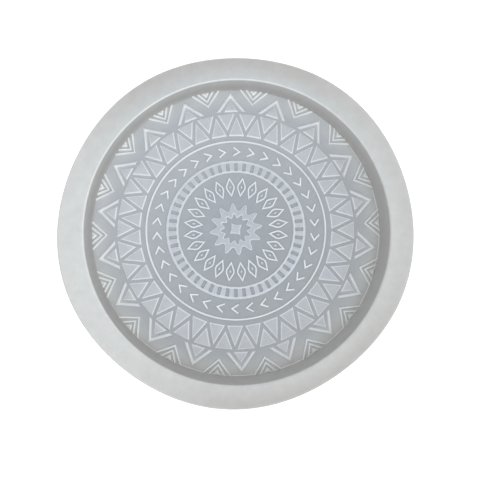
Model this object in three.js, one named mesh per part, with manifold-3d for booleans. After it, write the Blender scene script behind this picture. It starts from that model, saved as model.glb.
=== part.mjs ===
// Round silicone mould for casting a resin coaster, 110 mm across and 10 mm high.
//
// Millimetres, +Z up. The origin lies on the cavity's axis at the mould's underside, so the
// mould rests on the plane z = 0 with its open cavity facing up.
//
// The real mould is one casting. It is divided here along its own features: the floor slab,
// the rim that carries the cavity's wall, and seven rings of floor skin, each with one band
// of the raised pattern. Every round edge uses the same facets, so the rings meet face to
// face with no gap and no overlap.

import * as THREE from 'three';
import { mergeVertices } from 'three/addons/utils/BufferGeometryUtils.js';
import Module from 'manifold-3d';

// Driving dimensions
const HEIGHT = 10; // underside to rim top
const FLOOR_TOP = 3; // underside to cavity floor
const SLAB_TOP = 2.4; // underside to the back of the pattern skin
const RELIEF = 0.5; // how far the pattern stands up from the cavity floor
const RELIEF_ROOT = 0.3; // how deep a motif is rooted in its skin
const OUTER_RADIUS = 54.75; // mean radius of the rim's outside
const OPENING_RADIUS = 47.05; // cavity at the rim top
const FLOOR_RADIUS = 46.35; // cavity at the floor, so the wall leans by about 6 degrees
const LIP_RADIUS = 0.5; // rounding of the cavity's lip
const EDGE_RADIUS = 0.8; // rounding of the rim's outer edges
const FACETS = 72; // sides of every full circle

// A thin silicone rim never lies quite round: this one is a little oval and a little five-sided.
// Each wave has its number of lobes, its height, and the direction of one of its crests in degrees.
const OVAL = { lobes: 2, height: 0.3, crest: 20 };
const FIVE_SIDED = { lobes: 5, height: 0.3, crest: -20 };
const RIM_WAVES = [OVAL, FIVE_SIDED];

// The cavity's opening lies a little off the floor's axis; one lobe is a plain shift.
const OPENING_WAVES = [{ lobes: 1, height: 0.65, crest: -45 }];

// Radii where one ring of pattern skin ends and the next begins
const STAR_EDGE = 9.5;
const PETAL_EDGE = 17.8;
const LADDER_EDGE = 23.2;
const CHEVRON_EDGE = 27.6;
const LINE_EDGE = 29.95;
const TRIANGLE_EDGE = 38.6;

// The bands of the pattern. "turn" is the direction of the first motif in degrees, "half" is
// half of a motif's width, and "line" is the width of a stroke.
const SQUARE = { corner: 2.5, waist: 1.43, turn: 38.3 };
const STAR = {
  points: 12,
  turn: 7.5,
  outside: { low: 6.1, high: 8.55, sharpness: 1.5 },
  inside: { low: 3.6, high: 4.9, sharpness: 1.3 },
};
const PETALS = { count: 24, turn: 7.5, from: 10.4, to: 17.2, half: 1.47, line: 0.52 };
const PETAL_SHOULDER = 0.08; // share of a petal's length from its middle to the end of its flat
const PETAL_TIP = 2.2; // strokes' widths between a petal's outer and inner tip
const SEED = { reach: 0.62, half: 0.36 };
const LADDER = { count: 48, from: 18.55, to: 22.55, windowFrom: 19.2, windowTo: 21.7, windowHalf: 0.57 };
const CHEVRONS = { count: 34, turn: 2.3, radius: 25.45, length: 2.4, half: 1.45, line: 0.52 };
const CHEVRON_NOSE = 0.8; // strokes' widths the tip reaches forward
const CHEVRON_NOTCH = 1.3; // strokes' widths the notch behind the tip lies back
const RING_LINE = { from: 28.58, to: 29.22 };
const TRIANGLES = { count: 34, turn: -0.4, from: 30.75, to: 38.2 };
const INWARD = { tip: 32.6, half: 2.85 };
const OUTWARD = { tip: 37.45, half: 2.55 };
const TENTS = { count: 18, turn: 12.4, foot: 38.95, tip: 45.45, half: 4.75, line: 0.97 };
const TENT_FILL = { tip: 42.4, half: 2.35 };
// Slopes are half-width over length: the outer arrow of a nest is the blunter one.
const ARROWS = { count: 18, turn: 2.65, line: 0.66 };
const ARROW_BARS = [{ tip: 41.2, slope: 0.96 }, { tip: 42.75, slope: 0.8 }];
const ARROW_FILL = { tip: 44.75, slope: 0.75 };
const ARROW_OVERRUN = 1; // how far an arrow is drawn past the wall before it is cut
const WALL_GAP = 0.1; // between the wall's foot and the cut end of an arrow

const wasm = await Module();
wasm.setup();

const radians = (degrees) => THREE.MathUtils.degToRad(degrees);

// A point given by its radius and its direction in degrees
function polar(radius, degrees) {
  const angle = radians(degrees);
  return new THREE.Vector2(radius * Math.cos(angle), radius * Math.sin(angle));
}

function circle(radius) {
  return Array.from({ length: FACETS }, (_, step) => polar(radius, (step * 360) / FACETS));
}

// A motif is drawn pointing along +X and then turned about the axis to its own direction.
function turned(outline, degrees) {
  const centre = new THREE.Vector2();
  return outline.map((point) => point.clone().rotateAround(centre, radians(degrees)));
}

// A motif that is its own mirror image in the X axis: the upper half is given, tip to tip.
function mirrored(upperHalf) {
  const points = upperHalf.map(([x, y]) => new THREE.Vector2(x, y));
  const lowerHalf = points.filter((point) => point.y > 0).reverse();
  return [...points, ...lowerHalf.map((point) => new THREE.Vector2(point.x, -point.y))];
}

function repeated(outline, count, turn) {
  return Array.from({ length: count }, (_, step) => turned(outline, turn + (step * 360) / count));
}

function toSolid(geometry) {
  const bare = geometry.clone();
  bare.deleteAttribute('normal');
  bare.deleteAttribute('uv');
  const merged = mergeVertices(bare, 1e-4);
  return new wasm.Manifold(new wasm.Mesh({
    numProp: 3,
    vertProperties: new Float32Array(merged.attributes.position.array),
    triVerts: new Uint32Array(merged.index.array),
  }));
}

function toGeometry(solid) {
  const mesh = solid.getMesh();
  const geometry = new THREE.BufferGeometry();
  geometry.setAttribute('position', new THREE.BufferAttribute(mesh.vertProperties, 3));
  geometry.setIndex(new THREE.BufferAttribute(mesh.triVerts, 1));
  geometry.computeVertexNormals();
  return geometry;
}

function anticlockwise(outline) {
  return THREE.ShapeUtils.isClockWise(outline) ? [...outline].reverse() : outline;
}

// An upright plate between two heights, with holes
function plate(outline, holes, bottom, top) {
  const shape = new THREE.Shape(anticlockwise(outline));
  shape.holes = holes.map((hole) => new THREE.Path(anticlockwise(hole)));
  const geometry = new THREE.ExtrudeGeometry(shape, { depth: top - bottom, bevelEnabled: false });
  return geometry.translate(0, 0, bottom);
}

// Raised motifs start a little way down in the skin, so that the two join cleanly.
function motif(outline, holes = []) {
  return toSolid(plate(outline, holes, FLOOR_TOP - RELIEF_ROOT, FLOOR_TOP + RELIEF));
}

// One ring of floor skin, joined with the motifs that stand on it
function patternRing(innerRadius, outerRadius, motifs) {
  const holes = innerRadius > 0 ? [circle(innerRadius)] : [];
  const skin = toSolid(plate(circle(outerRadius), holes, SLAB_TOP, FLOOR_TOP));
  return toGeometry(motifs.reduce((joined, next) => joined.add(next), skin));
}

// How far a set of waves pushes the rim out in one direction
function push(waves, angle) {
  return waves.reduce(
    (sum, wave) => sum + wave.height * Math.cos(wave.lobes * (angle - radians(wave.crest))),
    0,
  );
}

// Quarter of a circle in the rim's section, from one direction to the next
function rounding(centreR, centreZ, radius, startDegrees, steps = 2) {
  return Array.from({ length: steps + 1 }, (_, step) =>
    polar(radius, startDegrees + (step * 90) / steps).add(new THREE.Vector2(centreR, centreZ)));
}

function rimGeometry() {
  const section = [
    new THREE.Vector2(FLOOR_RADIUS, 0),
    ...rounding(OUTER_RADIUS - EDGE_RADIUS, EDGE_RADIUS, EDGE_RADIUS, -90),
    ...rounding(OUTER_RADIUS - EDGE_RADIUS, HEIGHT - EDGE_RADIUS, EDGE_RADIUS, 0),
    ...rounding(OPENING_RADIUS + LIP_RADIUS, HEIGHT - LIP_RADIUS, LIP_RADIUS, 90),
    new THREE.Vector2(FLOOR_RADIUS, FLOOR_TOP),
    new THREE.Vector2(FLOOR_RADIUS, 0),
  ];
  const geometry = new THREE.LatheGeometry(section, FACETS).rotateX(Math.PI / 2);

  // The rim's waves fade out across its width. The opening's waves fade out towards the
  // outside and down the wall, so the cavity's floor stays round.
  const { clamp } = THREE.MathUtils;
  const position = geometry.attributes.position;
  for (let i = 0; i < position.count; i += 1) {
    const place = new THREE.Vector2(position.getX(i), position.getY(i));
    const across = clamp((place.length() - OPENING_RADIUS) / (OUTER_RADIUS - OPENING_RADIUS), 0, 1);
    const up = clamp((position.getZ(i) - FLOOR_TOP) / (HEIGHT - FLOOR_TOP), 0, 1);
    const rimPush = across * push(RIM_WAVES, place.angle());
    const openingPush = (1 - across) * up * push(OPENING_WAVES, place.angle());
    place.setLength(place.length() + rimPush + openingPush);
    position.setXY(i, place.x, place.y);
  }
  return geometry;
}

function slabGeometry() {
  const section = [
    new THREE.Vector2(0, 0),
    new THREE.Vector2(FLOOR_RADIUS, 0),
    new THREE.Vector2(FLOOR_RADIUS, SLAB_TOP),
    new THREE.Vector2(0, SLAB_TOP),
  ];
  return new THREE.LatheGeometry(section, FACETS).rotateX(Math.PI / 2);
}

// A square with hollow sides, each side a shallow curve between two corners
function squareOutline() {
  const { corner, waist, turn } = SQUARE;
  const stepsPerSide = 4;
  return [0, 1, 2, 3].flatMap((side) => {
    const start = polar(corner, turn + side * 90);
    const end = polar(corner, turn + side * 90 + 90);
    const pull = polar(2 * waist - corner * Math.SQRT1_2, turn + side * 90 + 45);
    return new THREE.QuadraticBezierCurve(start, pull, end).getPoints(stepsPerSide).slice(0, -1);
  });
}

// A closed wave round the axis: narrow rounded crests with wider hollows between them
function waveOutline({ low, high, sharpness }) {
  const stepsPerPoint = 8;
  const steps = STAR.points * stepsPerPoint;
  return Array.from({ length: steps }, (_, step) => {
    const swing = (1 + Math.cos((step * 2 * Math.PI) / stepsPerPoint)) / 2;
    return polar(low + (high - low) * swing ** sharpness, STAR.turn + (step * 360) / steps);
  });
}

function starRing() {
  const star = motif(waveOutline(STAR.outside), [waveOutline(STAR.inside)]);
  return patternRing(0, STAR_EDGE, [motif(squareOutline()), star]);
}

// A long lozenge between two radii, with a short flat at its widest
function petalOutline(from, to, half) {
  const middle = (from + to) / 2;
  const shoulder = (to - from) * PETAL_SHOULDER;
  return mirrored([[from, 0], [middle - shoulder, half], [middle + shoulder, half], [to, 0]]);
}

// Each petal is an outline with a small seed standing free in its middle.
function petalRing() {
  const { count, turn, from, to, half, line } = PETALS;
  const middle = (from + to) / 2;
  const tip = PETAL_TIP * line;
  const outside = repeated(petalOutline(from, to, half), count, turn);
  const inside = repeated(petalOutline(from + tip, to - tip, half - line), count, turn);
  const seedOutline = mirrored([[middle - SEED.reach, 0], [middle, SEED.half], [middle + SEED.reach, 0]]);
  const seeds = repeated(seedOutline, count, turn);
  return patternRing(STAR_EDGE, PETAL_EDGE, [
    ...outside.map((outline, index) => motif(outline, [inside[index]])),
    ...seeds.map((outline) => motif(outline)),
  ]);
}

// A raised ring pierced by a row of upright windows
function ladderRing() {
  const { count, from, to, windowFrom, windowTo, windowHalf } = LADDER;
  const window = mirrored([[windowTo, windowHalf], [windowFrom, windowHalf]]);
  const windows = repeated(window, count, 0);
  return patternRing(PETAL_EDGE, LADDER_EDGE, [motif(circle(to), [circle(from), ...windows])]);
}

// Open arrowheads that chase each other clockwise round the mould
function chevronRing() {
  const { count, turn, radius, length, half, line } = CHEVRONS;
  const arm = line / 2;
  const outline = [
    [0, -line * CHEVRON_NOSE],
    [half + arm, length - arm],
    [half - arm, length],
    [0, line * CHEVRON_NOTCH],
    [-half + arm, length],
    [-half - arm, length - arm],
  ].map(([outward, back]) => new THREE.Vector2(radius + outward, back));
  const chevrons = repeated(outline, count, turn);
  return patternRing(LADDER_EDGE, CHEVRON_EDGE, chevrons.map((chevron) => motif(chevron)));
}

function lineRing() {
  const line = motif(circle(RING_LINE.to), [circle(RING_LINE.from)]);
  return patternRing(CHEVRON_EDGE, LINE_EDGE, [line]);
}

// Triangles pointing inwards, and between them triangles pointing outwards
function triangleRing() {
  const { count, turn, from, to } = TRIANGLES;
  const inward = mirrored([[INWARD.tip, 0], [to, INWARD.half]]);
  const outward = mirrored([[OUTWARD.tip, 0], [from, OUTWARD.half]]);
  return patternRing(LINE_EDGE, TRIANGLE_EDGE, [
    ...repeated(inward, count, turn),
    ...repeated(outward, count, turn + 180 / count),
  ].map((outline) => motif(outline)));
}

// A bent bar with its bend at "tip" and its two ends at "foot". "half" is the ends' spread,
// and "line" the bar's width.
function bentBar(tip, foot, half, line) {
  const slope = Math.hypot(tip - foot, half);
  const insideTip = tip - (Math.sign(tip - foot) * line * slope) / half;
  const insideHalf = half - (line * slope) / Math.abs(tip - foot);
  return mirrored([[tip, 0], [foot, half], [foot, insideHalf], [insideTip, 0]]);
}

// Tents with a filled triangle under them, and between them nested arrows that run into the wall
function borderRing() {
  const { count, turn, foot, tip, half, line } = TENTS;
  const tent = bentBar(tip, foot, half, line);
  const fill = mirrored([[TENT_FILL.tip, 0], [foot, TENT_FILL.half]]);
  const tents = [...repeated(tent, count, turn), ...repeated(fill, count, turn)];

  const reach = FLOOR_RADIUS + ARROW_OVERRUN;
  const halfAtReach = (arrow) => (reach - arrow.tip) * arrow.slope;
  const bars = ARROW_BARS.map((bar) => bentBar(bar.tip, reach, halfAtReach(bar), ARROWS.line));
  const arrowFill = mirrored([[ARROW_FILL.tip, 0], [reach, halfAtReach(ARROW_FILL)]]);
  const floorDisc = toSolid(plate(circle(FLOOR_RADIUS - WALL_GAP), [], SLAB_TOP, HEIGHT));
  const arrows = [...bars, arrowFill].flatMap((outline) => repeated(outline, ARROWS.count, ARROWS.turn));

  return patternRing(TRIANGLE_EDGE, FLOOR_RADIUS, [
    ...tents.map((outline) => motif(outline)),
    ...arrows.map((outline) => motif(outline).intersect(floorDisc)),
  ]);
}

// Milky silicone is one material; the frosted pattern scatters more light than the smooth skin.
function silicone(color, roughness) {
  return new THREE.MeshStandardMaterial({ color, roughness, metalness: 0 });
}

const group = new THREE.Group();

function addNode(name, geometry, material) {
  const mesh = new THREE.Mesh(geometry, material);
  mesh.name = name;
  group.add(mesh);
}

addNode('floor_slab', slabGeometry(), silicone('#aab0b6', 0.35));
addNode('rim_wall', rimGeometry(), silicone('#cdd1d0', 0.45));
addNode('star_ring', starRing(), silicone('#b4bbc4', 0.5));
addNode('petal_ring', petalRing(), silicone('#b7bec7', 0.5));
addNode('ladder_ring', ladderRing(), silicone('#bac1ca', 0.5));
addNode('chevron_ring', chevronRing(), silicone('#b4bbc4', 0.5));
addNode('line_ring', lineRing(), silicone('#b7bec7', 0.5));
addNode('triangle_ring', triangleRing(), silicone('#bac1ca', 0.5));
addNode('border_ring', borderRing(), silicone('#b4babe', 0.5));

export default group;
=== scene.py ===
import math

import bmesh
import bpy
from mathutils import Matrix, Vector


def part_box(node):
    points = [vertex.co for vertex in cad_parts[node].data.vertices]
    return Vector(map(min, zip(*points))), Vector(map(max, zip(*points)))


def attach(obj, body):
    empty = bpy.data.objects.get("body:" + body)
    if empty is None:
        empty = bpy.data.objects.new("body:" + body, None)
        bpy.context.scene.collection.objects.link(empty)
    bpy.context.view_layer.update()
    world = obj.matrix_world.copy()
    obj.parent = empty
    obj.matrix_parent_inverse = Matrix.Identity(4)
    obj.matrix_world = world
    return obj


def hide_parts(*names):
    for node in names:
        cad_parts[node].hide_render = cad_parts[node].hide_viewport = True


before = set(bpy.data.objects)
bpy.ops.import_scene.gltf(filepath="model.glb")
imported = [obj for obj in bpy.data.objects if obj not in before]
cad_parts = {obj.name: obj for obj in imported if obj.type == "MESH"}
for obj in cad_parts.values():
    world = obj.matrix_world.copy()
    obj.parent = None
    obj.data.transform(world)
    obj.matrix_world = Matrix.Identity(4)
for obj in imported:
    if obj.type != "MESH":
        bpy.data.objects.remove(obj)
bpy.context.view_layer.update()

mm = 0.001


# places taken from the frame

def outerRadius(node):
    low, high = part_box(node)
    return (high[0] - low[0]) / 2

reliefHeight = 0.5 * mm                 # the pattern above the cavity floor
lobeReach = 0.23 * mm                   # the rim's lobes beyond its mean radius
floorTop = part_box("star_ring")[1][2] - reliefHeight
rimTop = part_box("rim_wall")[1][2]
floorRadius = outerRadius("floor_slab")
rimRadius = outerRadius("rim_wall") - lobeReach


# small helpers for modelling

weldGap = 0.002 * mm                    # points closer than this are the same point


def deselectAll():
    if bpy.context.object and bpy.context.object.mode == "EDIT":
        bpy.ops.object.mode_set(mode="OBJECT")
    bpy.ops.object.select_all(action="DESELECT")


def selectOnly(*pieces):
    deselectAll()
    for piece in pieces:
        piece.select_set(True)
    bpy.context.view_layer.objects.active = pieces[0]


def pick(kind, wanted):
    bpy.ops.mesh.select_mode(type=kind)
    bpy.ops.mesh.select_all(action="DESELECT")
    mesh = bmesh.from_edit_mesh(bpy.context.object.data)
    parts = {"VERT": mesh.verts, "EDGE": mesh.edges, "FACE": mesh.faces}[kind]
    for part in parts:
        if wanted(part):
            part.select_set(True)
    mesh.select_flush_mode()
    bmesh.update_edit_mesh(bpy.context.object.data)


def onCircle(radius, degrees, height=0.0):
    angle = math.radians(degrees)
    return (radius * math.cos(angle), radius * math.sin(angle), height)


def tracePath(name, points):
    # one vertex pulled from point to point, left in edit mode with all of it selected
    deselectAll()
    bpy.ops.mesh.primitive_plane_add(size=mm, location=points[0])
    piece = bpy.context.object
    piece.name = name
    bpy.ops.object.transform_apply(location=True)
    bpy.ops.object.mode_set(mode="EDIT")
    bpy.ops.mesh.select_mode(type="VERT")
    bpy.ops.mesh.select_all(action="SELECT")
    bpy.ops.mesh.merge(type="CENTER")
    for start, end in zip(points, points[1:]):
        step = [b - a for a, b in zip(start, end)]
        bpy.ops.mesh.extrude_region_move(TRANSFORM_OT_translate={"value": step})
    bpy.ops.mesh.select_all(action="SELECT")
    return piece


def traceFace(name, points):
    piece = tracePath(name, points)
    bpy.ops.mesh.edge_face_add()
    mesh = bmesh.from_edit_mesh(piece.data)
    mesh.normal_update()
    if mesh.faces[:][0].normal.z < 0:
        bpy.ops.mesh.flip_normals()
    bpy.ops.mesh.select_mode(type="FACE")
    bpy.ops.mesh.select_all(action="SELECT")
    return piece


def spinSection(name, section, steps):
    # section is a closed or axis-to-axis outline of (radius, height), turned about the axis
    piece = tracePath(name, [(radius, 0.0, height) for radius, height in section])
    bpy.ops.mesh.spin(steps=steps, angle=2 * math.pi, center=(0, 0, 0), axis=(0, 0, 1))
    bpy.ops.mesh.select_all(action="SELECT")
    bpy.ops.mesh.remove_doubles(threshold=weldGap)
    bpy.ops.mesh.normals_make_consistent(inside=False)
    bpy.ops.object.mode_set(mode="OBJECT")
    return piece


def roundCorner(centre, radius, fromDegrees, toDegrees, steps):
    # arc in the section plane: (radius from the axis, height)
    points = []
    for step in range(steps + 1):
        angle = math.radians(fromDegrees + (toDegrees - fromDegrees) * step / steps)
        points.append((centre[0] + radius * math.cos(angle), centre[1] + radius * math.sin(angle)))
    return points


def raiseSelected(shape):
    # the selected footprint gets a foot sunk in the floor, sloping flanks and a soft crest
    foot = {"value": (0, 0, shape["foot"])}
    bpy.ops.mesh.extrude_region_move(TRANSFORM_OT_translate=foot)
    bpy.ops.mesh.inset(thickness=shape["flank"], depth=shape["height"], use_even_offset=True)
    bpy.ops.mesh.region_to_loop()
    if shape["corners"]:                # the edges that run up the corners are rounded as well
        crest = floorTop + shape["height"] * 0.9
        pick("EDGE", lambda edge: max(vertex.co.z for vertex in edge.verts) > crest)
    bpy.ops.mesh.bevel(offset=shape["crest"], segments=2, affect="EDGES")
    bpy.ops.mesh.select_all(action="SELECT")
    bpy.ops.mesh.normals_make_consistent(inside=False)
    bpy.ops.object.mode_set(mode="OBJECT")


def tone(piece, value, fromRadius=0.0):
    # how pale the frosting is, kept on the faces for the finish to read
    layer = piece.data.attributes.get("frost") or piece.data.attributes.new("frost", "FLOAT", "FACE")
    for face in piece.data.polygons:
        if math.hypot(face.center.x, face.center.y) >= fromRadius:
            layer.data[face.index].value = value


def repeatRound(piece, count, turn):
    # copies of one finished motif, each with its own mesh, joined into one ring
    copies = []
    for step in range(count):
        selectOnly(piece)
        bpy.ops.object.duplicate()
        copy = bpy.context.object
        copy.rotation_euler.z = math.radians(turn + step * 360 / count)
        bpy.ops.object.transform_apply(rotation=True)
        copies.append(copy)
    name = piece.name
    selectOnly(piece)
    bpy.ops.object.delete()
    selectOnly(*copies)
    bpy.ops.object.join()
    copies[0].name = name
    return copies[0]


def joinPieces(name, pieces):
    selectOnly(*pieces)
    bpy.ops.object.join()
    pieces[0].name = name
    return pieces[0]


def finishPiece(piece, material, node, smoothBelow=20):
    selectOnly(piece)
    bpy.ops.object.shade_smooth_by_angle(angle=math.radians(smoothBelow))
    piece.data.materials.clear()
    piece.data.materials.append(material)
    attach(piece, "root")
    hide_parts(node)
    print("stage: made", piece.name, len(piece.data.polygons), "faces")


# effects that the silicone finishes share

def newGroup(name, inputs, outputs):
    group = bpy.data.node_groups.new(name, "ShaderNodeTree")
    for socketName, kind, value in inputs:
        socket = group.interface.new_socket(socketName, in_out="INPUT", socket_type=kind)
        if value is not None:
            socket.default_value = value
    for socketName, kind in outputs:
        group.interface.new_socket(socketName, in_out="OUTPUT", socket_type=kind)
    return group, group.nodes.new("NodeGroupInput"), group.nodes.new("NodeGroupOutput")


def addNode(tree, kind, links=None, **settings):
    # a node with its settings, and links given as {input socket: output socket or value}
    node = tree.nodes.new(kind)
    for name, value in settings.items():
        setattr(node, name, value)
    for socket, source in (links or {}).items():
        if isinstance(source, bpy.types.NodeSocket):
            tree.links.new(source, node.inputs[socket])
        else:
            node.inputs[socket].default_value = source
    return node


def cloudyToneGroup():
    # a faint, uneven cloudiness: a tint around white that multiplies the colour
    group, given, out = newGroup(
        "cloudyTone",
        [("Vector", "NodeSocketVector", None), ("Scale", "NodeSocketFloat", 90.0),
         ("Strength", "NodeSocketFloat", 0.05), ("Tinge", "NodeSocketFloat", 0.5)],
        [("Tone", "NodeSocketColor")])
    cloud = addNode(group, "ShaderNodeTexNoise", {
        "Vector": given.outputs["Vector"], "Scale": given.outputs["Scale"], "Detail": 7.0,
        "Roughness": 0.68})
    high = addNode(group, "ShaderNodeMath", {0: given.outputs["Strength"], 1: 1.0}, operation="ADD")
    low = addNode(group, "ShaderNodeMath", {0: 1.0, 1: given.outputs["Strength"]}, operation="SUBTRACT")
    tone = addNode(group, "ShaderNodeMapRange", {
        "Value": cloud.outputs["Fac"], "From Min": 0.3, "From Max": 0.7,
        "To Min": low.outputs[0], "To Max": high.outputs[0]})
    aside = addNode(group, "ShaderNodeVectorMath", {0: given.outputs["Vector"], 1: (0.3, 0.7, 0.2)},
                    operation="ADD")
    drift = addNode(group, "ShaderNodeTexNoise", {
        "Vector": aside.outputs[0], "Scale": given.outputs["Scale"], "Detail": 2.0})
    tingeMask = addNode(group, "ShaderNodeMapRange", {
        "Value": drift.outputs["Fac"], "From Min": 0.35, "From Max": 0.65,
        "To Min": 0.0, "To Max": given.outputs["Tinge"]})
    tinge = addNode(group, "ShaderNodeMix", {
        0: tingeMask.outputs["Result"], 6: (1.0, 1.0, 1.0, 1.0), 7: (1.0, 0.984, 0.986, 1.0)},
        data_type="RGBA")
    both = addNode(group, "ShaderNodeMix", {
        0: 1.0, 6: tinge.outputs[2], 7: tone.outputs["Result"]}, data_type="RGBA", blend_type="MULTIPLY")
    group.links.new(both.outputs[2], out.inputs["Tone"])
    return group


def frostGrainGroup():
    # the fine tooth of a frosted skin: a height for bump, and a little roughness
    group, given, out = newGroup(
        "frostGrain",
        [("Vector", "NodeSocketVector", None), ("Grain", "NodeSocketFloat", 3000.0),
         ("Roughness", "NodeSocketFloat", 0.5), ("Spread", "NodeSocketFloat", 0.1)],
        [("Height", "NodeSocketFloat"), ("Roughness", "NodeSocketFloat")])
    fine = addNode(group, "ShaderNodeTexNoise", {
        "Vector": given.outputs["Vector"], "Scale": given.outputs["Grain"], "Detail": 3.0})
    centred = addNode(group, "ShaderNodeMath", {0: fine.outputs["Fac"], 1: 0.5}, operation="SUBTRACT")
    swing = addNode(group, "ShaderNodeMath", {
        0: centred.outputs[0], 1: given.outputs["Spread"], 2: given.outputs["Roughness"]},
        operation="MULTIPLY_ADD")
    group.links.new(fine.outputs["Fac"], out.inputs["Height"])
    group.links.new(swing.outputs[0], out.inputs["Roughness"])
    return group


def flankGroup():
    # picks out sloping faces: 0 on a level face, 1 on a slope
    group, given, out = newGroup(
        "flank",
        [("Normal", "NodeSocketVector", None), ("Level", "NodeSocketFloat", 0.97),
         ("Steep", "NodeSocketFloat", 0.72)],
        [("Mask", "NodeSocketFloat")])
    parts = addNode(group, "ShaderNodeSeparateXYZ", {0: given.outputs["Normal"]})
    mask = addNode(group, "ShaderNodeMapRange", {
        "Value": parts.outputs["Z"], "From Min": given.outputs["Level"],
        "From Max": given.outputs["Steep"], "To Min": 0.0, "To Max": 1.0},
        interpolation_type="SMOOTHSTEP")
    group.links.new(mask.outputs["Result"], out.inputs["Mask"])
    return group


def reachGroup():
    # how far out from the mould's axis a point lies, 0 at one radius and 1 at another
    group, given, out = newGroup(
        "reach",
        [("Vector", "NodeSocketVector", None), ("From", "NodeSocketFloat", 0.0),
         ("To", "NodeSocketFloat", 0.05)],
        [("Mask", "NodeSocketFloat")])
    flat = addNode(group, "ShaderNodeVectorMath", {0: given.outputs["Vector"], 1: (1, 1, 0)},
                   operation="MULTIPLY")
    length = addNode(group, "ShaderNodeVectorMath", {0: flat.outputs[0]}, operation="LENGTH")
    mask = addNode(group, "ShaderNodeMapRange", {
        "Value": length.outputs["Value"], "From Min": given.outputs["From"],
        "From Max": given.outputs["To"], "To Min": 0.0, "To Max": 1.0},
        interpolation_type="SMOOTHSTEP")
    group.links.new(mask.outputs["Result"], out.inputs["Mask"])
    return group


def towardsGroup():
    # how far a point lies towards one side of the mould, 0 at one distance and 1 at another
    group, given, out = newGroup(
        "towards",
        [("Vector", "NodeSocketVector", None), ("Side", "NodeSocketVector", (1, 0, 0)),
         ("From", "NodeSocketFloat", 0.0), ("To", "NodeSocketFloat", 0.05)],
        [("Mask", "NodeSocketFloat")])
    along = addNode(group, "ShaderNodeVectorMath", {
        0: given.outputs["Vector"], 1: given.outputs["Side"]}, operation="DOT_PRODUCT")
    mask = addNode(group, "ShaderNodeMapRange", {
        "Value": along.outputs["Value"], "From Min": given.outputs["From"],
        "From Max": given.outputs["To"], "To Min": 0.0, "To Max": 1.0},
        interpolation_type="SMOOTHSTEP")
    group.links.new(mask.outputs["Result"], out.inputs["Mask"])
    return group


effects = {
    "towards": towardsGroup(),
    "cloudy": cloudyToneGroup(),
    "grain": frostGrainGroup(),
    "flank": flankGroup(),
    "reach": reachGroup(),
}


def addEffect(tree, name, links):
    return addNode(tree, "ShaderNodeGroup", links, node_tree=effects[name])


def mixColour(tree, mask, first, second, blend="MIX"):
    links = {0: mask, 6: first, 7: second}
    return addNode(tree, "ShaderNodeMix", links, data_type="RGBA", blend_type=blend).outputs[2]


def multiply(tree, first, second):
    return addNode(tree, "ShaderNodeMath", {0: first, 1: second}, operation="MULTIPLY").outputs[0]


def fromSrgb(red, green, blue):
    return tuple((((value / 255) + 0.055) / 1.055) ** 2.4 for value in (red, green, blue)) + (1.0,)


silicone = {
    "grainSpread": 0.16,         # how much the roughness varies with the grain
    "bumpDepth": 0.05 * mm,
    "glowColour": (1.0, 1.0, 1.0),
    "glowDepth": 1.2 * mm,
    "paintedLightHalf": 42 * mm,         # painted light changes from this far on one side to as far on the other
    "coolLightSide": 110,             # degrees, the side where cooler light is painted
    "underSlope": (-0.5, -0.9),
    "underside": fromSrgb(178, 182, 184),    # rim and floor are one casting, so they match from below
}


def newSilicone(name, look):
    # what every silicone finish has: fine grain, gloss and a little depth
    material = bpy.data.materials.new(name)
    material.use_nodes = True
    tree = material.node_tree
    shader = tree.nodes["Principled BSDF"]
    place = addNode(tree, "ShaderNodeTexCoord")
    spot = place.outputs["Object"]
    grain = addEffect(tree, "grain", {
        "Vector": spot, "Grain": look["grain"], "Roughness": look["roughness"],
        "Spread": silicone["grainSpread"]})
    tree.links.new(grain.outputs["Roughness"], shader.inputs["Roughness"])
    bump = addNode(tree, "ShaderNodeBump", {
        "Strength": look["bump"], "Distance": silicone["bumpDepth"],
        "Height": grain.outputs["Height"]})
    tree.links.new(bump.outputs["Normal"], shader.inputs["Normal"])
    shader.inputs["Specular IOR Level"].default_value = look["gloss"]
    shader.inputs["Subsurface Weight"].default_value = look["glow"]
    shader.inputs["Subsurface Radius"].default_value = silicone["glowColour"]
    shader.inputs["Subsurface Scale"].default_value = silicone["glowDepth"]
    return material, tree, place


def useColour(tree, place, colour, look):
    cloudy = addEffect(tree, "cloudy", {
        "Vector": place.outputs["Object"], "Scale": look["cloudSize"], "Strength": look["cloud"],
        "Tinge": look["tinge"]})
    colour = mixColour(tree, 1.0, colour, cloudy.outputs["Tone"], blend="MULTIPLY")
    tree.links.new(colour, tree.nodes["Principled BSDF"].inputs["Base Color"])


def reachMask(tree, place, inside, outside):
    return addEffect(tree, "reach", {
        "Vector": place.outputs["Object"], "From": inside, "To": outside}).outputs["Mask"]


def flankMask(tree, place, level, steep):
    return addEffect(tree, "flank", {
        "Normal": place.outputs["Normal"], "Level": level, "Steep": steep}).outputs["Mask"]


def towardsMask(tree, place, side, near, far):
    return addEffect(tree, "towards", {
        "Vector": place.outputs["Object"], "Side": side, "From": near, "To": far}).outputs["Mask"]


def acrossMask(tree, place, degrees):
    half = silicone["paintedLightHalf"]
    return towardsMask(tree, place, onCircle(1, degrees), -half, half)


def paintedLightTowards(tree, place, colour, degrees, low, high):
    # painted light and shade: a gentle change of brightness across the mould, paler towards one side and
    # darker towards the other
    mask = acrossMask(tree, place, degrees)
    share = addNode(tree, "ShaderNodeMath", {0: mask, 1: high - low, 2: low}, operation="MULTIPLY_ADD")
    return mixColour(tree, 1.0, colour, share.outputs[0], blend="MULTIPLY")


def paintedCoolLightTowards(tree, place, warm, cool):
    # painted light: a slightly cooler hue towards one side, where cooler light falls
    return mixColour(tree, acrossMask(tree, place, silicone["coolLightSide"]), warm, cool)


def paintUnderside(tree, place, colour):
    mask = flankMask(tree, place, *silicone["underSlope"])
    return mixColour(tree, mask, colour, silicone["underside"])


# in a look, a reach is a pair of radii, a slope is a pair for flankMask, and a light side says which way
# painted light makes a colour paler, in degrees, with its lowest and highest share of brightness

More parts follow.
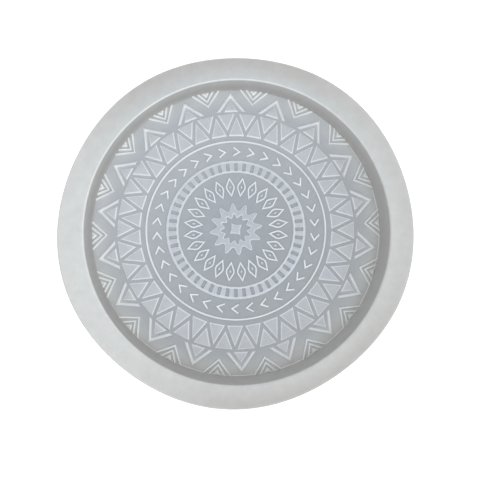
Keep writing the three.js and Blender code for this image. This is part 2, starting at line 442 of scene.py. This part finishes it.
def makeRimSilicone():
    look = {
        "inner": fromSrgb(187, 190, 189), "innerInCoolLight": fromSrgb(187, 192, 194),
        "outer": fromSrgb(176, 176, 175), "flatReach": (47 * mm, 54 * mm),
        "palestLit": fromSrgb(207, 211, 211), "paintedLightEnd": 52 * mm,
        "paintedLightStretches": [(195, 10 * mm, 0.75), (12, 30 * mm, 0.35)],    # painted light, paler towards two sides: degrees, start, strength
        # painted highlight on the lip, paler towards one side
        "lip": fromSrgb(214, 217, 217), "lipLightSide": (135, 0.78, 1.04),
        "lipHighlightReach": (51 * mm, 50 * mm), "lipHighlightSlope": (0.985, 0.9),
        # painted light and shade on the wall: paler towards one side, darker towards its foot
        "wall": fromSrgb(178, 178, 177), "wallLightSide": (110, 0.9, 1.05), "wallSlope": (0.8, 0.4),
        "wallFootShade": fromSrgb(169, 169, 168), "wallShadeHeight": (5.5 * mm, 9 * mm),
        # painted highlight along the wall's foot, paler towards one side
        "foot": fromSrgb(200, 201, 200), "footLightSide": (320, 0.88, 1.12),
        "footHighlightReach": (46.4 * mm, 46.28 * mm),
        "side": fromSrgb(174, 175, 174), "sideReach": (50 * mm, 51 * mm), "sideSlope": (0.985, 0.6),
        "cloud": 0.05, "cloudSize": 320.0, "tinge": 1.0, "grain": 2500.0, "bump": 0.25,
        "roughness": 0.42, "gloss": 0.4, "glow": 0.25}
    material, tree, place = newSilicone("rimSilicone", look)
    across = reachMask(tree, place, *look["flatReach"])
    # painted light: the rim's inner colour turns cooler towards one side
    colour = paintedCoolLightTowards(tree, place, look["inner"], look["innerInCoolLight"])
    colour = mixColour(tree, across, colour, look["outer"])
    # painted light: the rim's flat is painted paler towards two sides, where more light falls on it
    for degrees, near, strength in look["paintedLightStretches"]:
        litStretch = towardsMask(tree, place, onCircle(1, degrees), near, look["paintedLightEnd"])
        colour = mixColour(tree, multiply(tree, litStretch, strength), colour, look["palestLit"])

    # painted highlight: a bright line on the cavity's rounded lip, paler still towards one side as painted
    # light
    lip = multiply(tree, reachMask(tree, place, *look["lipHighlightReach"]),
                   flankMask(tree, place, *look["lipHighlightSlope"]))
    lipHighlightColour = paintedLightTowards(tree, place, look["lip"], *look["lipLightSide"])
    colour = mixColour(tree, lip, colour, lipHighlightColour)

    # painted light and shade on the wall: paler towards one side, and darker down towards the floor
    upper = paintedLightTowards(tree, place, look["wall"], *look["wallLightSide"])
    height = towardsMask(tree, place, (0, 0, 1), *look["wallShadeHeight"])
    wall = mixColour(tree, height, look["wallFootShade"], upper)
    colour = mixColour(tree, flankMask(tree, place, *look["wallSlope"]), colour, wall)
    # painted highlight: a thin pale line along the fillet at the wall's foot, paler towards one side as
    # painted light
    foot = paintedLightTowards(tree, place, look["foot"], *look["footLightSide"])
    colour = mixColour(tree, reachMask(tree, place, *look["footHighlightReach"]), colour, foot)

    side = multiply(tree, reachMask(tree, place, *look["sideReach"]),
                    flankMask(tree, place, *look["sideSlope"]))
    colour = mixColour(tree, side, colour, look["side"])
    useColour(tree, place, paintUnderside(tree, place, colour), look)
    return material


def makeFloorSilicone():
    look = {
        "inner": fromSrgb(154, 160, 167), "outer": fromSrgb(159, 165, 170),
        "outerReach": (12 * mm, 24 * mm),
        # painted light: paler near the wall and towards one side, with a cooler hue there
        "edge": fromSrgb(184, 186, 185), "edgeInCoolLight": fromSrgb(183, 189, 193),
        "nearWallLightReach": (38 * mm, 46.5 * mm), "lightSide": (125, 0.88, 1.13),
        "cloud": 0.04, "cloudSize": 300.0, "tinge": 0.5, "grain": 2500.0, "bump": 0.15,
        "roughness": 0.36, "gloss": 0.4, "glow": 0.15}
    material, tree, place = newSilicone("floorSilicone", look)
    outward = reachMask(tree, place, *look["outerReach"])
    colour = mixColour(tree, outward, look["inner"], look["outer"])
    # painted light: the floor is painted paler near the wall, where the wall's shade falls, and cooler
    # towards one side
    edge = paintedCoolLightTowards(tree, place, look["edge"], look["edgeInCoolLight"])
    colour = mixColour(tree, reachMask(tree, place, *look["nearWallLightReach"]), colour, edge)
    # painted light: the whole floor is paler towards one side of the mould
    colour = paintedLightTowards(tree, place, colour, *look["lightSide"])
    useColour(tree, place, paintUnderside(tree, place, colour), look)
    return material


def makeFrostedSilicone():
    look = {
        "inner": fromSrgb(175, 182, 190), "outer": fromSrgb(180, 185, 190),
        "pale": fromSrgb(224, 229, 235), "paleOuter": fromSrgb(216, 220, 224),
        "outerReach": (24 * mm, 42 * mm), "paleSlope": (0.97, 0.8),
        # painted light: paler near the wall and towards one side
        "nearWallLit": fromSrgb(235, 239, 237), "edgeLightSide": (125, 0.8, 1.05),
        "nearWallLightReach": (42 * mm, 45.5 * mm),
        "lightSide": (140, 0.93, 1.07), "lightSideReach": (16 * mm, 38 * mm),
        "cloud": 0.05, "cloudSize": 400.0, "tinge": 0.5, "grain": 3500.0, "bump": 0.35,
        "roughness": 0.55, "gloss": 0.3, "glow": 0.1}
    material, tree, place = newSilicone("frostedSilicone", look)
    outward = reachMask(tree, place, *look["outerReach"])
    colour = mixColour(tree, outward, look["inner"], look["outer"])
    frost = addNode(tree, "ShaderNodeAttribute", attribute_name="frost")
    pale = addNode(tree, "ShaderNodeMath", {
        0: flankMask(tree, place, *look["paleSlope"]), 1: frost.outputs["Fac"]}, operation="MAXIMUM")
    paleColour = mixColour(tree, outward, look["pale"], look["paleOuter"])
    # painted light: the pattern's pale parts are painted paler near the wall, where the wall's shade falls,
    # and paler towards one side
    nearWallLit = paintedLightTowards(tree, place, look["nearWallLit"], *look["edgeLightSide"])
    edge = reachMask(tree, place, *look["nearWallLightReach"])
    paleColour = mixColour(tree, edge, paleColour, nearWallLit)
    colour = mixColour(tree, pale.outputs[0], colour, paleColour)
    # painted light: the bands from the middle outward are paler towards one side
    paintedLightSideways = paintedLightTowards(tree, place, colour, *look["lightSide"])
    colour = mixColour(tree, reachMask(tree, place, *look["lightSideReach"]), colour, paintedLightSideways)
    useColour(tree, place, colour, look)
    return material


rimSilicone = makeRimSilicone()
floorSilicone = makeFloorSilicone()
frostedSilicone = makeFrostedSilicone()
print("stage: finishes ready")


# the rim, with its wall

rim = {
    "steps": 288,                # segments round the axis
    "lipRadius": 0.8 * mm,       # soft lip of the cavity
    "opening": 47.05 * mm,       # cavity radius at the rim top
    "edgeRadius": 0.9 * mm,      # rounding of the rim's outer edges
    "foot": 0.25 * mm,           # fillet between wall and floor
    "sag": 0.12 * mm,            # the rim's flat dips a little in the middle
    "support": 0.4 * mm,         # extra rings this far from the rounded edges
    "cornerSteps": 7,
    "footSteps": 5,
    "smoothBelow": 40,           # degrees
    "waves": [(2, 0.3, 20), (5, 0.3, -20)],      # lobes, height in mm, direction of a crest
    "openingWaves": [(1, 0.65, -45)],            # one lobe is a shift off the axis
}


def rimSection():
    lip, edge, foot = rim["lipRadius"], rim["edgeRadius"], rim["foot"]
    lean = math.degrees(math.atan2(rim["opening"] - floorRadius, rimTop - floorTop))
    footCentre = (floorRadius - foot, floorTop + foot)
    lipCentre = (rim["opening"] + lip, rimTop - lip)
    support, steps, footSteps = rim["support"], rim["cornerSteps"], rim["footSteps"]
    flat = [
        (lipCentre[0] + support, rimTop - 0.2 * rim["sag"]),
        (0.5 * (lipCentre[0] + rimRadius), rimTop - rim["sag"]),
        (rimRadius - edge - support, rimTop - 0.3 * rim["sag"]),
    ]
    return [
        (footCentre[0], 0.0),
        (footCentre[0], floorTop),
        *roundCorner(footCentre, foot, -90 + 90 / footSteps, -lean, footSteps - 1),
        *roundCorner(lipCentre, lip, 180 - lean, 90, steps),
        *flat,
        *roundCorner((rimRadius - edge, rimTop - edge), edge, 90, 0, steps),
        (rimRadius, rimTop - edge - support),
        (rimRadius, edge + support),
        *roundCorner((rimRadius - edge, edge), edge, 0, -90, steps),
        (rimRadius - edge - support, 0.0),
        (footCentre[0], 0.0),
    ]


def swing(waves, angle):
    return sum(height * mm * math.cos(lobes * (angle - math.radians(crest)))
               for lobes, height, crest in waves)


def clamp(value):
    return min(max(value, 0), 1)


def makeRim():
    piece = spinSection("rim", rimSection(), rim["steps"])
    for vertex in piece.data.vertices:      # the limp rim isn't quite round, the cavity's floor is
        x, y, z = vertex.co
        radius, angle = math.hypot(x, y), math.atan2(y, x)
        across = clamp((radius - rim["opening"]) / (rimRadius - rim["opening"]))
        up = clamp((z - floorTop) / (rimTop - floorTop))
        push = across * swing(rim["waves"], angle) + (1 - across) * up * swing(rim["openingWaves"], angle)
        vertex.co = (x * (1 + push / radius), y * (1 + push / radius), z)
    finishPiece(piece, rimSilicone, "rim_wall", rim["smoothBelow"])
    return piece


# the floor between the rim's feet

floor = {"rings": (0.0, 0.2, 0.5, 0.8)}     # where rings of faces meet, as shares of its radius


def makeFloor():
    edge, rings = floorRadius - rim["foot"], floor["rings"]
    section = [(edge * share, floorTop) for share in rings] + [(edge, floorTop), (edge, 0.0)]
    section += [(edge * share, 0.0) for share in reversed(rings)]
    piece = spinSection("floor", section, rim["steps"])
    finishPiece(piece, floorSilicone, "floor_slab", rim["smoothBelow"])
    return piece


# the raised pattern, one function for each band; a motif's tone is how pale its top is

relief = {"foot": 0.1 * mm, "height": reliefHeight, "flank": 0.34 * mm, "crest": 0.07 * mm, "corners": True}
curvedRelief = dict(relief, flank=0.24 * mm, crest=0.06 * mm, corners=False)
barRelief = dict(relief, flank=0.26 * mm, crest=0.06 * mm, corners=False)
fineRelief = dict(relief, flank=0.14 * mm, crest=0.04 * mm, corners=False)
footLevel = floorTop - relief["foot"]

star = {
    "points": 12, "turn": 7.5, "stepsPerPoint": 12,
    "outside": (6.1 * mm, 8.55 * mm, 1.5),    # hollow, crest and sharpness of the wave
    "inside": (3.6 * mm, 4.9 * mm, 1.3),
    "square": 2.5 * mm, "waist": 1.43 * mm, "squareTurn": 38.3, "stepsPerSide": 6,
    "squareTone": 0.12, "ringTone": 0.0,
}


def wave(low, high, sharpness):
    count = star["points"] * star["stepsPerPoint"]
    points = []
    for step in range(count + 1):
        rise = (1 + math.cos(2 * math.pi * step / star["stepsPerPoint"])) / 2
        radius = low + (high - low) * rise ** sharpness
        points.append(onCircle(radius, star["turn"] + 360 * step / count, footLevel))
    return points


def waveLoop(name, points):
    piece = tracePath(name, points)
    bpy.ops.mesh.remove_doubles(threshold=weldGap)
    bpy.ops.object.mode_set(mode="OBJECT")
    return piece


def hollowSquare():
    points = []
    for side in range(4):
        first = onCircle(star["square"], star["squareTurn"] + 90 * side)
        last = onCircle(star["square"], star["squareTurn"] + 90 * side + 90)
        pull = onCircle(2 * star["waist"] - star["square"] * math.sqrt(0.5),
                        star["squareTurn"] + 90 * side + 45)
        for step in range(star["stepsPerSide"]):
            t = step / star["stepsPerSide"]
            x, y = [(1 - t) ** 2 * a + 2 * t * (1 - t) * b + t * t * c
                    for a, b, c in zip(first[:2], pull[:2], last[:2])]
            points.append((x, y, footLevel))
    return points


def makeStar():
    traceFace("square", hollowSquare())
    square = bpy.context.object
    raiseSelected(curvedRelief)
    tone(square, star["squareTone"])

    outside = waveLoop("starOutside", wave(*star["outside"]))
    inside = waveLoop("starInside", wave(*star["inside"]))
    ring = joinPieces("starRing", [outside, inside])
    bpy.ops.object.mode_set(mode="EDIT")
    bpy.ops.mesh.select_all(action="SELECT")
    bpy.ops.mesh.bridge_edge_loops()
    bpy.ops.mesh.select_mode(type="FACE")
    bpy.ops.mesh.select_all(action="SELECT")
    faceUp(ring)
    raiseSelected(curvedRelief)
    tone(ring, star["ringTone"])
    piece = joinPieces("squareAndStar", [square, ring])
    finishPiece(piece, frostedSilicone, "star_ring")
    return piece


def faceUp(piece):
    mesh = bmesh.from_edit_mesh(piece.data)
    mesh.normal_update()
    if mesh.faces[:][0].normal.z < 0:
        bpy.ops.mesh.flip_normals()


petals = {"count": 24, "turn": 7.5, "from": 10.4 * mm, "to": 17.2 * mm, "half": 1.47 * mm,
          "line": 0.52 * mm, "seedReach": 0.62 * mm, "seedHalf": 0.36 * mm,
          "shoulder": 0.1, "shoulderHalf": 0.92,      # softens its side corners, as shares
          "tone": 1.0, "seedTone": 0.4}


def makePetals():
    low, high, half = petals["from"], petals["to"], petals["half"]
    middle, length = (low + high) / 2, high - low
    shoulder, shoulderHalf = petals["shoulder"] * length, petals["shoulderHalf"] * half
    upper = [(low, 0), (middle - shoulder, shoulderHalf), (middle, half),
             (middle + shoulder, shoulderHalf), (high, 0)]
    lower = [(x, -y) for x, y in upper[-2:0:-1]]
    traceFace("petal", [(x, y, footLevel) for x, y in lower[::-1] + upper[::-1]])
    petal = bpy.context.object
    bpy.ops.mesh.inset(thickness=petals["line"], depth=0, use_even_offset=True)
    bpy.ops.mesh.delete(type="FACE")
    bpy.ops.mesh.select_all(action="SELECT")
    raiseSelected(fineRelief)
    tone(petal, petals["tone"])

    reach, seedHalf = petals["seedReach"], petals["seedHalf"]
    traceFace("seed", [(middle - reach, 0, footLevel), (middle, -seedHalf, footLevel),
                       (middle + reach, 0, footLevel), (middle, seedHalf, footLevel)])
    seed = bpy.context.object
    raiseSelected(fineRelief)
    tone(seed, petals["seedTone"])
    pair = joinPieces("petals", [petal, seed])
    piece = repeatRound(pair, petals["count"], petals["turn"])
    finishPiece(piece, frostedSilicone, "petal_ring")
    return piece


ladder = {"count": 48, "from": 18.55 * mm, "to": 22.55 * mm, "windowFrom": 19.2 * mm,
          "windowTo": 21.7 * mm, "windowHalf": 0.57 * mm, "corner": 0.22 * mm,
          "weld": 0.01 * mm, "margin": 0.1 * mm,
          "innerTone": 0.5, "barTone": 0.12, "outerTone": 0.4}


def fieldCorner(radius, side):
    return onCircle(radius, side * 180 / ladder["count"], footLevel)


def windowCorner(radius, side):
    degrees = math.degrees(math.asin(ladder["windowHalf"] / radius))
    return onCircle(radius, side * degrees, footLevel)


def makeLadder():
    # one field of the ladder is four faces traced round its window
    low, high, windowLow, windowHigh = [ladder[key] for key in ("from", "to", "windowFrom", "windowTo")]
    faces = []
    for edge, window in ((low, windowLow), (high, windowHigh)):
        faces.append([fieldCorner(edge, -1), fieldCorner(window, -1), windowCorner(window, -1),
                      windowCorner(window, 1), fieldCorner(window, 1), fieldCorner(edge, 1)])
    for side in (-1, 1):
        faces.append([fieldCorner(windowLow, side), fieldCorner(windowHigh, side),
                      windowCorner(windowHigh, side), windowCorner(windowLow, side)])
    parts = []
    for face in faces:
        parts.append(traceFace("ladderFace", face))
        bpy.ops.object.mode_set(mode="OBJECT")
    field = joinPieces("ladder", parts)
    bpy.ops.object.mode_set(mode="EDIT")
    bpy.ops.mesh.select_all(action="SELECT")
    bpy.ops.mesh.remove_doubles(threshold=ladder["weld"])
    nearest, farthest = windowLow - ladder["margin"], windowHigh + ladder["margin"]
    pick("VERT", lambda vertex: abs(abs(vertex.co.y) - ladder["windowHalf"]) < ladder["weld"]
         and nearest < math.hypot(*vertex.co[:2]) < farthest)
    bpy.ops.mesh.bevel(offset=ladder["corner"], segments=2, affect="VERTICES")
    bpy.ops.object.mode_set(mode="OBJECT")
    piece = repeatRound(field, ladder["count"], 0)
    bpy.ops.object.mode_set(mode="EDIT")
    bpy.ops.mesh.select_mode(type="FACE")
    bpy.ops.mesh.select_all(action="SELECT")
    bpy.ops.mesh.remove_doubles(threshold=ladder["weld"])
    bpy.ops.mesh.select_all(action="SELECT")
    faceUp(piece)
    raiseSelected(fineRelief)
    tone(piece, ladder["innerTone"])
    tone(piece, ladder["barTone"], fromRadius=windowLow)
    tone(piece, ladder["outerTone"], fromRadius=windowHigh)
    finishPiece(piece, frostedSilicone, "ladder_ring")
    return piece


arrowheads = {"count": 34, "turn": 2.3, "radius": 25.45 * mm, "length": 2.4 * mm,
              "half": 1.45 * mm, "line": 0.52 * mm,
              "point": 0.8, "notch": 1.3,      # how far the bend lies out and in, in line widths
              "tone": 1.0}


def makeArrowheads():
    length, half, line = arrowheads["length"], arrowheads["half"], arrowheads["line"]
    arm = line / 2
    outline = [(0, -line * arrowheads["point"]), (half + arm, length - arm), (half - arm, length),
               (0, line * arrowheads["notch"]), (-half + arm, length), (-half - arm, length - arm)]
    traceFace("arrowheads", [(arrowheads["radius"] + x, y, footLevel) for x, y in outline])
    head = bpy.context.object
    raiseSelected(fineRelief)
    tone(head, arrowheads["tone"])
    piece = repeatRound(head, arrowheads["count"], arrowheads["turn"])
    finishPiece(piece, frostedSilicone, "chevron_ring")
    return piece


thinCircle = {"from": 28.58 * mm, "to": 29.22 * mm, "steps": 288, "tone": 0.9}


def makeThinCircle():
    low, high = thinCircle["from"], thinCircle["to"]
    crest, flank, top = fineRelief["crest"], fineRelief["flank"], floorTop + fineRelief["height"]
    section = [(low, footLevel), (high, footLevel), (high, floorTop), (high - flank, top - crest),
               (high - flank - crest, top), (low + flank + crest, top), (low + flank, top - crest),
               (low, floorTop), (low, footLevel)]
    piece = spinSection("thinCircle", section, thinCircle["steps"])
    tone(piece, thinCircle["tone"])
    finishPiece(piece, frostedSilicone, "line_ring")
    return piece


triangles = {"count": 34, "turn": -0.4, "from": 30.75 * mm, "to": 38.2 * mm, "innerTip": 32.6 * mm,
             "outerTip": 37.45 * mm, "inwardHalf": 2.85 * mm, "outwardHalf": 2.55 * mm}


def softTriangle(name, tip, base, half):
    traceFace(name, [(tip, 0, footLevel), (base, half, footLevel), (base, -half, footLevel)])
    piece = bpy.context.object
    raiseSelected(relief)
    return piece


def makeTriangles():
    step = 180 / triangles["count"]
    inward = softTriangle("inward", triangles["innerTip"], triangles["to"], triangles["inwardHalf"])
    outward = softTriangle("outward", triangles["outerTip"], triangles["from"], triangles["outwardHalf"])
    rings = [repeatRound(inward, triangles["count"], triangles["turn"]),
             repeatRound(outward, triangles["count"], triangles["turn"] + step)]
    piece = joinPieces("triangles", rings)
    finishPiece(piece, frostedSilicone, "triangle_ring")
    return piece


tents = {"count": 18, "turn": 12.4, "foot": 38.95 * mm, "tip": 45.45 * mm, "half": 4.75 * mm,
         "line": 0.97 * mm, "fillTip": 42.4 * mm, "fillHalf": 2.35 * mm, "tone": 0.65}
arrows = {"count": 18, "turn": 2.65, "line": 0.66 * mm,
          "bars": [(41.2 * mm, 0.96), (42.75 * mm, 0.8)],    # tip, and half-width over length
          "fill": (44.75 * mm, 0.75),
          "intoWall": 0.15 * mm, "tone": 0.9, "fillTone": 0.4}


def bentBar(name, tip, foot, half, shape, look):
    # a bar of even width, bent at its tip, with both ends at the foot radius
    line, side = look["line"], 1 if tip > foot else -1
    arm = math.hypot(tip - foot, half)
    insideTip = tip - side * line * arm / half
    insideHalf = half - line * arm / abs(tip - foot)
    traceFace(name, [(tip, 0, footLevel), (foot, half, footLevel), (foot, insideHalf, footLevel),
                     (insideTip, 0, footLevel), (foot, -insideHalf, footLevel), (foot, -half, footLevel)])
    piece = bpy.context.object
    raiseSelected(shape)
    tone(piece, look["tone"])
    return piece


def makeBorder():
    tent = bentBar("tent", tents["tip"], tents["foot"], tents["half"], barRelief, tents)
    fill = softTriangle("fill", tents["fillTip"], tents["foot"], tents["fillHalf"])
    tentRing = repeatRound(joinPieces("tents", [tent, fill]), tents["count"], tents["turn"])

    reach = floorRadius + arrows["intoWall"]    # the arrows' ends run into the wall
    bars = [bentBar("arrow", tip, reach, (reach - tip) * slope, fineRelief, arrows)
            for tip, slope in arrows["bars"]]
    tip, slope = arrows["fill"]
    arrowFill = softTriangle("arrowFill", tip, reach, (reach - tip) * slope)
    tone(arrowFill, arrows["fillTone"])
    bars.append(arrowFill)
    arrowRing = repeatRound(joinPieces("arrows", bars), arrows["count"], arrows["turn"])
    piece = joinPieces("tentsAndArrows", [tentRing, arrowRing])
    finishPiece(piece, frostedSilicone, "border_ring")
    return piece


makeRim()
makeFloor()
makeStar()
makePetals()
makeLadder()
makeArrowheads()
makeThinCircle()
makeTriangles()
makeBorder()


# the bench, the light and the camera

studio = {
    "benchSize": 3.0, "benchDrop": 0.1 * mm,
    "benchColour": (0.93, 0.93, 0.93, 1.0), "benchRoughness": 0.9,
    "benchGlow": 0.25, "benchGlowColour": (1.0, 1.0, 1.0, 1.0),
    "sky": (1.0, 1.0, 1.0, 1.0), "skyStrength": 0.955,
}
keyLight = {"place": (0.75, -1.0, 2.4), "aim": (0, 0, 0), "size": 1.5, "power": 18.0}
view = {"place": (1.35 * mm, -15.2 * mm, 142.9 * mm), "tilt": 4.78, "lens": 32.65, "sensor": 36,
        "nearest": 0.005}


def makeStudio():
    deselectAll()
    bpy.ops.mesh.primitive_plane_add(size=studio["benchSize"], location=(0, 0, -studio["benchDrop"]))
    bench = bpy.context.object
    bench.name = "bench"
    material = bpy.data.materials.new("benchWhite")
    material.use_nodes = True
    shader = material.node_tree.nodes["Principled BSDF"]
    shader.inputs["Base Color"].default_value = studio["benchColour"]
    shader.inputs["Roughness"].default_value = studio["benchRoughness"]
    shader.inputs["Emission Color"].default_value = studio["benchGlowColour"]
    shader.inputs["Emission Strength"].default_value = studio["benchGlow"]
    bench.data.materials.append(material)

    world = bpy.data.worlds.new("softRoom")
    bpy.context.scene.world = world
    world.use_nodes = True
    world.node_tree.nodes["Background"].inputs["Color"].default_value = studio["sky"]
    world.node_tree.nodes["Background"].inputs["Strength"].default_value = studio["skyStrength"]


def addSoftbox(name, lampLook):
    deselectAll()
    bpy.ops.object.light_add(type="AREA", location=lampLook["place"])
    lamp = bpy.context.object
    lamp.name = name
    lamp.data.size = lampLook["size"]
    lamp.data.energy = lampLook["power"]
    toAim = [b - a for a, b in zip(lampLook["place"], lampLook["aim"])]
    flat = math.hypot(toAim[0], toAim[1])
    lamp.rotation_euler = (math.atan2(flat, -toAim[2]), 0, math.atan2(toAim[1], toAim[0]) - math.pi / 2)


def makeCamera():
    deselectAll()
    bpy.ops.object.camera_add(location=view["place"], rotation=(math.radians(view["tilt"]), 0, 0))
    camera = bpy.context.object
    camera.name = "camera"
    camera.data.sensor_width = view["sensor"]
    camera.data.lens = view["lens"]
    camera.data.clip_start = view["nearest"]
    bpy.context.scene.camera = camera


makeStudio()
addSoftbox("keyLight", keyLight)
makeCamera()
bpy.context.scene.view_settings.view_transform = "Standard"
print("stage: studio ready")
